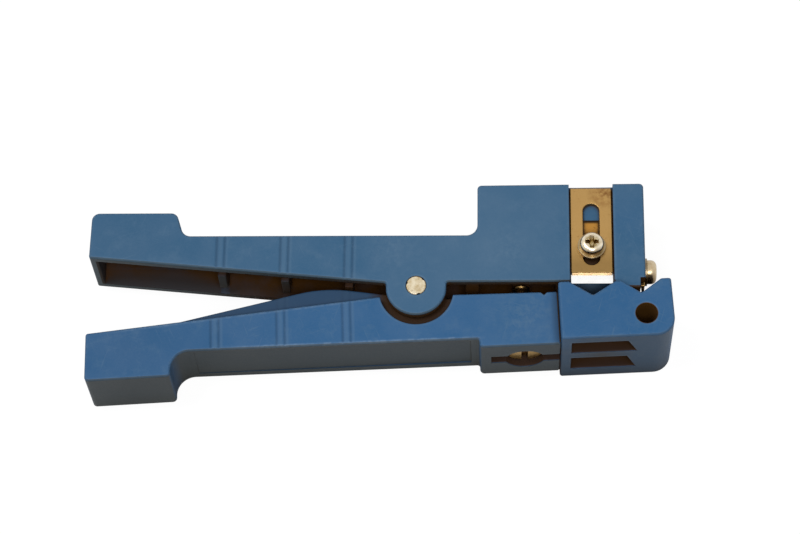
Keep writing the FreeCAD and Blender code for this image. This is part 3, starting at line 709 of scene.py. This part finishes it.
def blade_steel():
    """Razor strip: fine grinding lines along the cutting edge, a faint bloom, painted shade under the
    washer, a browned upper part with dirt and painted shade by the slot's edges, and a painted shadow at
    the top.
    """
    n = Nodes("blade_steel")
    lines = n.lines(7.0, 0.09, 7.0)
    bloom = n.rise(n.noise(1.8, detail=4.0, roughness=0.6), 0.52, 0.74, 0.5)
    colour = n.mix(n.product(lines, 0.4), STEEL, STEEL_DULL)
    colour = n.mix(bloom, colour, STEEL_DULL)
    height = n.lever_height()
    # Painted shade under the washer
    colour = n.mix(n.rise(height, *BLADE_SHADED), colour, METAL_DIRT_AND_SHADE)
    blotches = n.rise(n.noise(1.4, detail=3.0), 0.56, 0.70, 0.8)
    # Dirt in blotches, and painted shade by the slot's edges
    dirt = n.largest(blotches, n.rise(n.cavity(2.4, own=False), 0.10, 0.36))
    colour = n.mix(n.rise(height, *BLADE_BROWN), colour, n.mix(dirt, STEEL_STAIN, METAL_DIRT_AND_SHADE))
    # Painted shadow along the top
    colour = n.mix(n.rise(height, *BLADE_TOP), colour, METAL_DIRT_AND_SHADE)
    # Painted shade in the corners
    colour = n.mix(n.rise(n.cavity(0.8, own=False), 0.5, 1.0), colour, METAL_DIRT_AND_SHADE)
    n.metal(colour, lines, 0.12, 0.20)
    n.bump(lines, depth=0.003, strength=0.4)
    return n.material


def plated_nickel(name, bright, dull, smooth, head=None):
    """Clamp screws and washers: soft warm plating, worn dull, with painted shade below and in the recess,
    and stains with painted shade round the recess.
    """
    n = Nodes(name)
    cloud = n.clouds(1.1, roughness=0.65)
    colour = n.mix(cloud, bright, dull)
    specks = n.rise(n.noise(0.5, detail=3.0, roughness=0.7), 0.62, 0.72, 0.6)
    colour = n.mix(specks, colour, NICKEL_STAIN_AND_SHADE)
    # Stains with painted shade round the head's recess
    if head:
        blotches = n.ramp(n.noise(0.9, detail=3.0, roughness=0.6), 0.36, 0.56, 0.1, 0.9)
        round_recess = n.rise(n.near(head, 2.2), 0.1, 0.4)
        colour = n.mix(n.product(round_recess, blotches), colour, NICKEL_STAIN_AND_SHADE)
    colour = n.mix(n.rise(n.facing((0, -1, 0)), 0.25, 0.80, 0.85), colour, NICKEL_SHADE)
    # Painted shade in the recess
    recess = n.cavity(1.2, own=False)
    colour = n.mix(n.rise(recess, 0.25, 0.55), colour, NICKEL_STAIN_AND_SHADE)
    colour = n.mix(n.rise(recess, 0.70, 1.00, 0.35), colour, METAL_DIRT_AND_SHADE)
    n.metal(colour, cloud, smooth, smooth + 0.12)
    n.bump(n.noise(0.25, detail=3.0), depth=0.006, strength=0.5, normal=n.rounded(0.12))
    return n.material


def pin_steel():
    """Pivot pin: pale dressed end with brown specks and painted shade in the grooves."""
    n = Nodes("pin_steel")
    cloud = n.clouds(1.6)
    colour = n.mix(cloud, PIN, PIN_DULL)
    specks = n.rise(n.noise(0.55, detail=3.0, roughness=0.7), 0.60, 0.70, 0.85)
    colour = n.mix(specks, colour, PIN_SPECK)
    # Painted shade in the grooves
    colour = n.mix(n.rise(n.cavity(0.8, own=False), 0.30, 0.75), colour, METAL_DIRT_AND_SHADE)
    n.metal(colour, cloud, 0.34, 0.46)
    dents = n.noise(0.4, detail=3.0, roughness=0.6)
    n.bump(dents, depth=0.02, strength=0.6, normal=n.rounded(0.15))
    return n.material


def spring_steel():
    """Drawn spring wire with dull clouds and a little rust."""
    n = Nodes("spring_steel")
    cloud = n.clouds(1.5)
    colour = n.mix(cloud, WIRE, WIRE_DULL)
    rust = n.rise(n.noise(0.9, detail=4.0, roughness=0.7), 0.60, 0.74, 0.6)
    colour = n.mix(rust, colour, BRASS_STAIN_AND_SHADE)
    n.metal(colour, cloud, 0.28, 0.42)
    n.bump(n.noise(0.2, detail=3.0), depth=0.008, strength=0.5)
    return n.material


def add_spring(material):
    """Round wire coil wound between the two levers."""
    turn = 2 * math.pi * COIL_TURNS + 2 * math.radians(90 - LEG_ANGLE)
    first = math.radians(LEG_ANGLE - 90)
    height = COIL_PITCH * turn / (2 * math.pi)
    low = COIL_MIDDLE - height / 2
    steps = round(STEPS_PER_TURN * turn / (2 * math.pi))
    path = []
    for step in range(steps + 1):
        angle = first + turn * step / steps
        outward = Vector((math.cos(angle), math.sin(angle), 0))
        path.append((outward * COIL_RADIUS + Vector((0, 0, low + height * step / steps)), outward))
    start, start_out = path[0]
    end, end_out = path[-1]
    back = Vector((start_out.y, -start_out.x, 0)) * LEG_LENGTH
    ahead = Vector((-end_out.y, end_out.x, 0)) * LEG_LENGTH
    path = [(start + back, start_out)] + path + [(end + ahead, end_out)]

    points = []
    for centre, outward in path:
        for side in range(WIRE_SIDES):
            around = 2 * math.pi * side / WIRE_SIDES
            rim = outward * math.cos(around) + Vector((0, 0, math.sin(around)))
            points.append(mm(*(centre + rim * WIRE_RADIUS)))
    faces = []
    for ring in range(len(path) - 1):
        for side in range(WIRE_SIDES):
            a = ring * WIRE_SIDES + side
            b = ring * WIRE_SIDES + (side + 1) % WIRE_SIDES
            faces.append((a, a + WIRE_SIDES, b + WIRE_SIDES, b))
    faces.append(tuple(range(WIRE_SIDES)))
    faces.append(tuple(reversed(range(len(points) - WIRE_SIDES, len(points)))))
    mesh = bpy.data.meshes.new("spring_wire")
    mesh.from_pydata(points, [], faces)
    mesh.polygons.foreach_set("use_smooth", [len(face) == 4 for face in faces])
    mesh.materials.append(material)
    spring = add_object("spring_wire", mesh)
    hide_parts("torsion_spring")
    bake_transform(spring)


def screw_point(shape, axis, radius, step, y):
    """New corner at one of the steps round the depth screw's axis."""
    angle = 2 * math.pi * step / SCREW_SIDES
    place = Vector((axis.x + radius * math.cos(angle), y, axis.z + radius * math.sin(angle)))
    return shape.verts.new(place * MM)


def turn_profile(shape, axis, profile):
    """Faces of a profile of radius and height turned about the screw's axis, and their rings of corners."""
    rings = []
    for radius, y in profile:
        rings.append([screw_point(shape, axis, radius, step, y) for step in range(SCREW_SIDES)])
    for first, second in zip(rings, rings[1:]):
        for step in range(SCREW_SIDES):
            shape.faces.new((first[step - 1], first[step], second[step], second[step - 1]))
    return rings


def wind_thread(shape, axis, bottom, top):
    """Faces of the helical thread from the head up to the tip, fading out over a turn at each end.

    It starts a turn below the head and ends a turn past the tip; what lies outside is pressed flat.
    """
    rows = []
    turns = math.ceil((top - bottom) / THREAD_PITCH) + 2
    for step in range(turns * SCREW_SIDES + 1):
        row = []
        for share, depth in THREAD_PROFILE:
            y = bottom + THREAD_PITCH * (step / SCREW_SIDES - 1 + share)
            y = min(max(y, bottom), top)
            fade = min(1, (y - bottom) / THREAD_PITCH, (top - y) / THREAD_PITCH)
            row.append(screw_point(shape, axis, SCREW_RADIUS - depth * fade * THREAD_DEPTH, step, y))
        rows.append(row)
    for step in range(len(rows) - 1):
        here, there = rows[step], rows[step + 1]
        for side in range(len(THREAD_PROFILE) - 1):
            shape.faces.new((here[side], there[side], there[side + 1], here[side + 1]))
        if step + 1 + SCREW_SIDES < len(rows):
            above, beside_above = rows[step + SCREW_SIDES], rows[step + 1 + SCREW_SIDES]
            shape.faces.new((here[-1], there[-1], beside_above[0], above[0]))


def cut_slot(screw, axis, low, head_radius):
    """The screw's mesh with a screwdriver slot across its head."""
    block = bmesh.new()
    size = Vector((SCREW_SLOT_WIDTH, 2 * SCREW_SLOT_DEPTH, 3 * head_radius)) * MM
    place = Vector((axis.x, low.y, axis.z)) * MM
    bmesh.ops.create_cube(block, size=1.0, matrix=Matrix.Translation(place) @ Matrix.Diagonal((*size, 1)))
    cutter_mesh = bpy.data.meshes.new("slot_cutter")
    block.to_mesh(cutter_mesh)
    block.free()
    cutter = add_object("slot_cutter", cutter_mesh)
    slot = screw.modifiers.new("slot", "BOOLEAN")
    slot.operation = "DIFFERENCE"
    slot.object = cutter
    slotted = bpy.data.meshes.new_from_object(screw.evaluated_get(bpy.context.evaluated_depsgraph_get()))
    screw.modifiers.clear()
    bpy.data.objects.remove(cutter)
    return slotted


def add_depth_screw(material):
    """Slotted screw with a cut thread on its shank."""
    low, high = (Vector(corner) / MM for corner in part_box("depth_screw"))
    axis = (low + high) / 2
    head_radius = (high.x - low.x) / 2
    bottom = low.y + SCREW_HEAD_HEIGHT
    top = high.y - SCREW_TIP_BREAK
    shape = bmesh.new()
    head = turn_profile(shape, axis, (
        (head_radius - SCREW_HEAD_BREAK, low.y), (head_radius, low.y + SCREW_HEAD_BREAK),
        (head_radius, bottom), (SCREW_RADIUS, bottom)))
    tip = turn_profile(shape, axis, ((SCREW_RADIUS, top), (SCREW_RADIUS - SCREW_TIP_BREAK, high.y)))
    shape.faces.new(head[0])
    shape.faces.new(tip[-1])
    wind_thread(shape, axis, bottom, top)
    bmesh.ops.remove_doubles(shape, verts=shape.verts, dist=SCREW_WELD * MM)
    bmesh.ops.recalc_face_normals(shape, faces=shape.faces)
    mesh = bpy.data.meshes.new("threaded_depth_screw")
    shape.to_mesh(mesh)
    shape.free()

    screw = add_object("threaded_depth_screw", mesh)
    slotted = cut_slot(screw, axis, low, head_radius)
    slotted.polygons.foreach_set("use_smooth", [True] * len(slotted.polygons))
    slotted.set_sharp_from_angle(angle=math.radians(SCREW_SHARP_ANGLE))
    slotted.materials.clear()
    slotted.materials.append(material)
    screw.data = slotted
    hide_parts("depth_screw")
    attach(screw, "depth_screw_body")


def upper_nylon():
    """Upper lever: scuffed at the neck and jaw corner, painted sheen on the jaw, painted shade in the
    channel, towards the finger block and in the seat, and painted light under the jaw.
    """
    return blue_nylon(
        "blue_nylon_upper", NYLON_UPPER, underside_shade_share=0.60, ribs=UPPER_RIBS, tilt=UPPER_TILT, channel=True,
        scuffs=((LEVER_NECK, 9.0), (JAW_CORNER, 9.0)),
        tints=((JAW_SHEEN, 30.0, 0.40, NYLON_RUBBED_AND_SHEEN), (FINGER_BLOCK, 40.0, 0.10, NYLON_SHADE),
               (JAW_POST, 9.0, 0.25, NYLON_LOWER), (OVER_GROOVE, 7.0, 0.90, NYLON_WORN_AND_LIT)),
        unshaded=((UNDER_JAW, 9.0),), shaded_hole=(RING_SEAT, GAP_SHADE))


def lower_nylon():
    """Lower lever: painted highlights along the front edges, painted shade at the step to the guide block,
    on the handle and in the screw pocket, and painted sheen on the base.
    """
    return blue_nylon(
        "blue_nylon_lower", NYLON_LOWER, underside_shade_share=0.70, ribs=LOWER_RIBS, sunk=True, deep_shade_colour=DEEP_SHADE_LOWER,
        highlighted_edges=((LOWER_EDGE, 0.60), (UPPER_EDGE, 0.40)), scuffs=((BASE_FACE, 11.0),),
        tints=((BASE_MIDDLE, 16.0, 0.15, NYLON_RUBBED_AND_SHEEN), (HANDLE_BLOCK, 45.0, 0.22, NYLON_SHADE)),
        recess=SCREW_POCKET, shaded=(GUIDE_STEP, 1.7, 0.45))


def guide_nylon():
    """Guide block: painted light in the groove, and painted shade on the underside, in the pockets and in
    the hole.
    """
    return blue_nylon(
        "blue_nylon_guide", NYLON_LOWER, underside_shade_share=0.38,
        unshaded=((GUIDE_SIDE, 10.0), (GUIDE_GROOVE, 12.0)),
        tints=((GUIDE_UNDERSIDE, 8.0, 0.70, CORNER_SHADE), (GUIDE_GROOVE, 6.0, 0.90, NYLON_WORN_AND_LIT)),
        shaded_hole=(GUIDE_HOLE, HOLE_SHADE), recess=GUIDE_POCKETS)


def dress():
    """Give each solid its material, and draw the spring and the depth screw anew."""
    plate = rolled_brass()
    brass = turned_brass()
    steel = blade_steel()
    washer = plated_nickel("plated_washer", WASHER_SHADED, WASHER_DULL_SHADED, 0.34)
    looks = {
        "upper_lever": upper_nylon(), "lower_lever": lower_nylon(), "guide_block": guide_nylon(),
        "ring_clamp_plate": plate, "slit_clamp_plate": plate,
        "depth_screw": brass, "depth_insert": brass, "ring_insert": brass, "slit_insert": brass,
        "ring_blade": steel, "slit_blade": steel,
        "ring_screw": plated_nickel("plated_ring_screw", NICKEL, NICKEL_DULL, 0.18, RING_SCREW_HEAD),
        "slit_screw": plated_nickel("plated_slit_screw", NICKEL_SLIT_SHADED, NICKEL_DULL, 0.30, SLIT_SCREW_HEAD),
        "ring_washer": washer, "slit_washer": washer,
        "pivot_pin": pin_steel(),
        "torsion_spring": spring_steel(),
    }
    for name, look in looks.items():
        NODES[name].data.materials.clear()
        NODES[name].data.materials.append(look)
    add_spring(looks["torsion_spring"])
    add_depth_screw(looks["depth_screw"])


def seen_ray(tree):
    """1 for rays that show the background: straight, in a reflection or through something clear."""
    ray = tree.nodes.new("ShaderNodeLightPath")
    share = ray.outputs["Is Camera Ray"]
    for kind in ("Is Glossy Ray", "Is Transmission Ray"):
        larger = tree.nodes.new("ShaderNodeMath")
        larger.operation = "MAXIMUM"
        tree.links.new(share, larger.inputs[0])
        tree.links.new(ray.outputs[kind], larger.inputs[1])
        share = larger.outputs[0]
    return share


def add_floor():
    """Plain sheet under the tool: white where it is seen, and dimmed by a painted shadow in reflections
    close to the tool.
    """
    n = Nodes("floor_white")
    seen = seen_ray(n.tree)
    reflected = n.tree.nodes.new("ShaderNodeLightPath").outputs["Is Glossy Ray"]
    # Painted shadow of the tool, seen in reflections of the floor
    beside = n.product(reflected, n.rise(n.cavity(FLOOR_DIM_REACH, own=False), 0.0, 0.65))
    white = n.product(seen, n.math("SUBTRACT", 1.0, beside))
    n.set(Base_Color=n.mix(seen, FLOOR_BOUNCE, FLOOR_SEEN), Roughness=0.8, Specular_IOR_Level=0.0)
    n.set(Emission_Color=WHITE, Emission_Strength=n.product(white, FLOOR_GLOW))
    half = FLOOR_HALF
    corners = [(-half, -half, 0), (half, -half, 0), (half, half, 0), (-half, half, 0)]
    mesh = bpy.data.meshes.new("floor")
    mesh.from_pydata(corners, [], [(0, 1, 2, 3)])
    mesh.materials.append(n.material)
    floor = add_object("floor", mesh)


def add_lamp(name, place, size, power):
    """Soft box aimed at the middle of the tool; lengths are in metres."""
    data = bpy.data.lights.new(name, "AREA")
    data.shape = "RECTANGLE"
    data.size, data.size_y = size
    data.energy = power
    lamp = add_object(name, data)
    lamp.location = place
    lamp.rotation_euler = (-Vector(place)).to_track_quat("-Z", "Y").to_euler()


def add_light():
    """White surroundings, bright where seen and dim as a light, with a soft key and a soft fill."""
    world = bpy.data.worlds.new("studio")
    world.use_nodes = True
    tree = world.node_tree
    background = tree.nodes["Background"]
    background.inputs["Color"].default_value = (*WHITE, 1)
    strength = tree.nodes.new("ShaderNodeMapRange")
    strength.inputs["To Min"].default_value = WORLD_AS_LIGHT
    strength.inputs["To Max"].default_value = WORLD_AS_SEEN
    tree.links.new(seen_ray(tree), strength.inputs["Value"])
    tree.links.new(strength.outputs["Result"], background.inputs["Strength"])
    bpy.context.scene.world = world
    add_lamp("key", KEY_PLACE, KEY_SIZE, KEY_POWER)
    add_lamp("fill", FILL_PLACE, FILL_SIZE, FILL_POWER)


add_camera()
dress()
add_floor()
add_light()
bpy.context.scene.view_settings.view_transform = "Standard"
